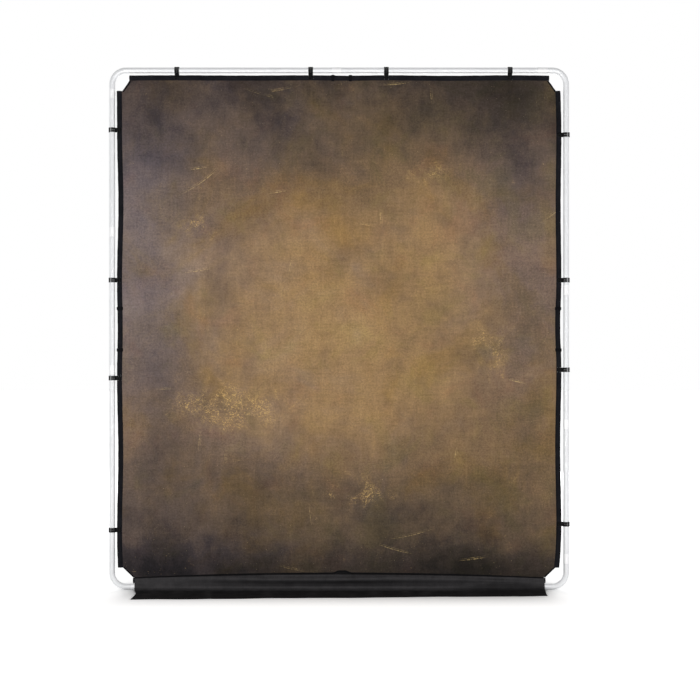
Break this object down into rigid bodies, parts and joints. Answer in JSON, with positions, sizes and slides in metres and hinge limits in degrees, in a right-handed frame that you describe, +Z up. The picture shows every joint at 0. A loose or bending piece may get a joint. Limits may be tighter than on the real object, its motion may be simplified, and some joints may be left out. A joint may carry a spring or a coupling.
{
  "type": "collapsible backdrop panel",
  "caption": "Portable photographic backdrop: mottled cloth stretched by swing clips inside a ring of push-fit tubes, with a plain flap that lies on the floor in front.",
  "frame": {"origin": "on the floor, at the middle of the footprint of the frame and its floor flap", "axes": "+Z up, the printed face looks along -Y, +X to the right as seen from the front"},
  "size_m": [2.007, 0.2602, 2.2743],
  "materials": {
    "tube": "satin anodised tube",
    "ferrule": "bright sleeve",
    "spigot": "mill finish",
    "clip": "glossy moulded",
    "hem": "black woven",
    "trim": "black webbing",
    "printed_cloth": "matt mottled brown and olive",
    "flap_cloth": "plain black satin",
    "batten": "glass-fibre rod",
    "joiner": "plain sleeve",
    "cap": "moulded"
  },
  "bodies": {
    "bottom_left_section": {"bottom_left_tube": "tube", "bottom_left_spigot": "spigot", "bottom_left_ferrule": "ferrule"},
    "left_middle_section": {"left_middle_tube": "tube", "left_middle_spigot": "spigot", "left_middle_ferrule": "ferrule"},
    "left_upper_section": {"left_upper_tube": "tube", "left_upper_spigot": "spigot", "left_upper_ferrule": "ferrule"},
    "top_left_section": {"top_left_tube": "tube", "top_left_ferrules": "ferrule"},
    "top_middle_section": {"top_middle_tube": "tube", "top_middle_spigots": "spigot"},
    "top_right_section": {"top_right_tube": "tube", "top_right_ferrules": "ferrule"},
    "right_middle_section": {"right_middle_tube": "tube", "right_middle_spigot": "spigot", "right_middle_ferrule": "ferrule"},
    "right_lower_section": {"right_lower_tube": "tube", "right_lower_spigot": "spigot", "right_lower_ferrule": "ferrule"},
    "bottom_right_section": {"bottom_right_tube": "tube", "bottom_right_spigot": "spigot", "bottom_right_ferrule": "ferrule"},
    "bottom_middle_section": {"bottom_middle_tube": "tube", "bottom_middle_spigots": "spigot"},
    "cover": {"backdrop_panel": "printed_cloth", "corner_bindings": "trim", "batten_caps": "cap", "top_hem": "hem", "top_battens": "batten", "top_joiner": "joiner", "top_keepers": "trim", "left_hem": "hem", "left_battens": "batten", "left_joiner": "joiner", "left_keepers": "trim", "right_hem": "hem", "right_battens": "batten", "right_joiner": "joiner", "right_keepers": "trim", "bottom_hem": "hem", "bottom_battens": "batten", "bottom_joiner": "joiner", "bottom_keepers": "trim"},
    "flap": {"floor_flap": "flap_cloth"},
    "top_clip_1_body": {"top_clip_1": "clip"},
    "top_clip_2_body": {"top_clip_2": "clip"},
    "top_clip_3_body": {"top_clip_3": "clip"},
    "top_clip_4_body": {"top_clip_4": "clip"},
    "left_clip_1_body": {"left_clip_1": "clip"},
    "left_clip_2_body": {"left_clip_2": "clip"},
    "left_clip_3_body": {"left_clip_3": "clip"},
    "left_clip_4_body": {"left_clip_4": "clip"},
    "right_clip_1_body": {"right_clip_1": "clip"},
    "right_clip_2_body": {"right_clip_2": "clip"},
    "right_clip_3_body": {"right_clip_3": "clip"},
    "right_clip_4_body": {"right_clip_4": "clip"}
  },
  "joints": [
    {"name": "cover_release", "type": "slide", "parent": "bottom_left_section", "child": "cover", "axis": [0.0824, -0.9889, 0.1236], "range_m": [0, 0.54]},
    {"name": "pull_left_low", "type": "slide", "parent": "bottom_left_section", "child": "left_middle_section", "axis": [0, 0, 1], "range_m": [0, 0.0446]},
    {"name": "pull_left_mid", "type": "slide", "parent": "left_middle_section", "child": "left_upper_section", "axis": [0, 0, 1], "range_m": [0, 0.0446]},
    {"name": "pull_left_high", "type": "slide", "parent": "left_upper_section", "child": "top_left_section", "axis": [0, 0, 1], "range_m": [0, 0.0446]},
    {"name": "pull_top_mid", "type": "slide", "parent": "top_left_section", "child": "top_middle_section", "axis": [1, 0, 0], "range_m": [0, 0.0446]},
    {"name": "pull_bottom_end", "type": "slide", "parent": "bottom_left_section", "child": "bottom_middle_section", "axis": [1, 0, 0], "range_m": [0, 0.0446]},
    {"name": "pull_bottom_mid", "type": "slide", "parent": "bottom_middle_section", "child": "bottom_right_section", "axis": [1, 0, 0], "range_m": [0, 0.0446]},
    {"name": "pull_right_low", "type": "slide", "parent": "bottom_right_section", "child": "right_lower_section", "axis": [0, 0, 1], "range_m": [0, 0.0446]},
    {"name": "pull_right_mid", "type": "slide", "parent": "right_lower_section", "child": "right_middle_section", "axis": [0, 0, 1], "range_m": [0, 0.0446]},
    {"name": "pull_right_high", "type": "slide", "parent": "right_middle_section", "child": "top_right_section", "axis": [0, 0, 1], "range_m": [0, 0.0446]},
    {"name": "floor_flap_lift", "type": "hinge", "parent": "cover", "child": "flap", "pos_m": [0, 0.11263, 0.05], "axis": [-1, 0, 0], "range_deg": [0, 95]},
    {"name": "top_clip_1_swing", "type": "hinge", "parent": "cover", "child": "top_clip_1_body", "pos_m": [-0.706, 0.11688, 2.22675], "axis": [1, 0, 0], "range_deg": [0, 120]},
    {"name": "top_clip_2_swing", "type": "hinge", "parent": "cover", "child": "top_clip_2_body", "pos_m": [-0.124, 0.11688, 2.22675], "axis": [1, 0, 0], "range_deg": [0, 120]},
    {"name": "top_clip_3_swing", "type": "hinge", "parent": "cover", "child": "top_clip_3_body", "pos_m": [0.205, 0.11688, 2.22675], "axis": [1, 0, 0], "range_deg": [0, 120]},
    {"name": "top_clip_4_swing", "type": "hinge", "parent": "cover", "child": "top_clip_4_body", "pos_m": [0.743, 0.11688, 2.22675], "axis": [1, 0, 0], "range_deg": [0, 120]},
    {"name": "left_clip_1_swing", "type": "hinge", "parent": "cover", "child": "left_clip_1_body", "pos_m": [-0.956, 0.11688, 1.999], "axis": [0, 0, 1], "range_deg": [0, 120]},
    {"name": "left_clip_2_swing", "type": "hinge", "parent": "cover", "child": "left_clip_2_body", "pos_m": [-0.956, 0.11688, 1.346], "axis": [0, 0, 1], "range_deg": [0, 120]},
    {"name": "left_clip_3_swing", "type": "hinge", "parent": "cover", "child": "left_clip_3_body", "pos_m": [-0.956, 0.11688, 0.92], "axis": [0, 0, 1], "range_deg": [0, 120]},
    {"name": "left_clip_4_swing", "type": "hinge", "parent": "cover", "child": "left_clip_4_body", "pos_m": [-0.956, 0.11688, 0.259], "axis": [0, 0, 1], "range_deg": [0, 120]},
    {"name": "right_clip_1_swing", "type": "hinge", "parent": "cover", "child": "right_clip_1_body", "pos_m": [0.956, 0.11688, 1.978], "axis": [0, 0, -1], "range_deg": [0, 120]},
    {"name": "right_clip_2_swing", "type": "hinge", "parent": "cover", "child": "right_clip_2_body", "pos_m": [0.956, 0.11688, 1.346], "axis": [0, 0, -1], "range_deg": [0, 120]},
    {"name": "right_clip_3_swing", "type": "hinge", "parent": "cover", "child": "right_clip_3_body", "pos_m": [0.956, 0.11688, 0.956], "axis": [0, 0, -1], "range_deg": [0, 120]},
    {"name": "right_clip_4_swing", "type": "hinge", "parent": "cover", "child": "right_clip_4_body", "pos_m": [0.956, 0.11688, 0.285], "axis": [0, 0, -1], "range_deg": [0, 120]}
  ],
  "couplings": [
    {"joint": "pull_left_low", "follows": "cover_release", "ratio": 0.082409},
    {"joint": "pull_left_mid", "follows": "cover_release", "ratio": 0.082409},
    {"joint": "pull_left_high", "follows": "cover_release", "ratio": 0.082409},
    {"joint": "pull_top_mid", "follows": "cover_release", "ratio": 0.082409},
    {"joint": "pull_bottom_end", "follows": "cover_release", "ratio": 0.082409},
    {"joint": "pull_bottom_mid", "follows": "cover_release", "ratio": 0.082409},
    {"joint": "pull_right_low", "follows": "cover_release", "ratio": 0.082409},
    {"joint": "pull_right_mid", "follows": "cover_release", "ratio": 0.082409},
    {"joint": "pull_right_high", "follows": "cover_release", "ratio": 0.082409}
  ]
}
